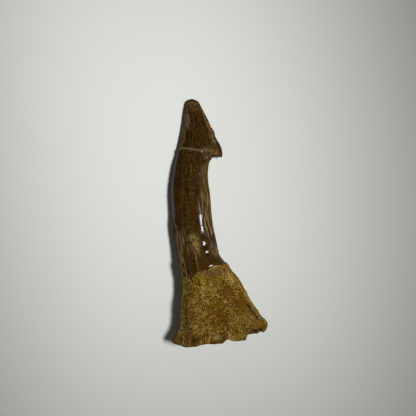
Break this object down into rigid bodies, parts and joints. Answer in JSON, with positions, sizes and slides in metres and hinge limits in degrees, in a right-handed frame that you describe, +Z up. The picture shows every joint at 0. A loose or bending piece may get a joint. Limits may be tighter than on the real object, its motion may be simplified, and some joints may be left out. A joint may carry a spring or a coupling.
{
  "type": "fossil sawfish rostral tooth",
  "caption": "Fossil rostral tooth lying on its flat side: a barbed, glossy brown crown on a curved shaft that flares into a porous ochre root.",
  "frame": {"origin": "under the middle of the tooth's bounding box, on the surface that it lies on", "axes": "+Y along the tooth towards its tip, +X towards the barb's side, +Z up through the tooth's thickness"},
  "size_m": [0.0194, 0.05, 0.0075],
  "materials": {
    "fossil_tooth": "Fossil tooth. The crown is glossy dark-brown enamel with fine lengthwise streaks, worn through to matt tan dentine along its back edge and low on its front edge. A thin pale line crosses the tip where a break was mended. The root is matt, granular and porous, in ochre and rust brown."
  },
  "bodies": {
    "root": {"rostral_tooth": "fossil_tooth"}
  },
  "joints": []
}
